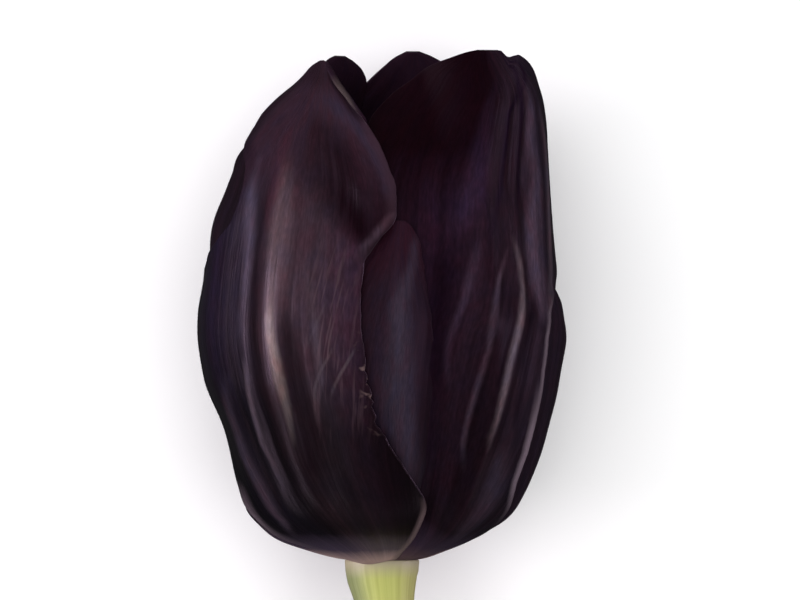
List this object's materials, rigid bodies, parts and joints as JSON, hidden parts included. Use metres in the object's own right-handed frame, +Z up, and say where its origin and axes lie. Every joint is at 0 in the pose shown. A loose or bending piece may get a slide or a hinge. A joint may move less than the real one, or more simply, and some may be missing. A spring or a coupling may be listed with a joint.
{
  "type": "black tulip cut flower",
  "caption": "Single cut tulip with a cup of dark overlapping tepals round a pistil and stamens, on a short bare stem, lying on its side.",
  "frame": {"origin": "on the surface the flower lies on, under the middle of its box", "axes": "+Y along the flower towards the tips of the tepals, +Z up, +X to the right as the flower is looked down on"},
  "size_m": [0.0446, 0.2124, 0.0437],
  "materials": {
    "outer_tepal": "satin petal skin, near-black purple with fine lengthwise streaks",
    "inner_tepal": "satin petal skin, near-black maroon with fine lengthwise streaks",
    "stem": "waxy yellow-green stem skin",
    "pistil": "smooth pale green",
    "stamens": "dull near-black"
  },
  "bodies": {
    "root": {"outer_tepal_left": "outer_tepal", "outer_tepal_right": "outer_tepal", "outer_tepal_back": "outer_tepal", "inner_tepal_front": "inner_tepal", "inner_tepal_left": "inner_tepal", "inner_tepal_right": "inner_tepal", "stem": "stem", "pistil": "pistil", "stamens": "stamens"}
  },
  "joints": []
}
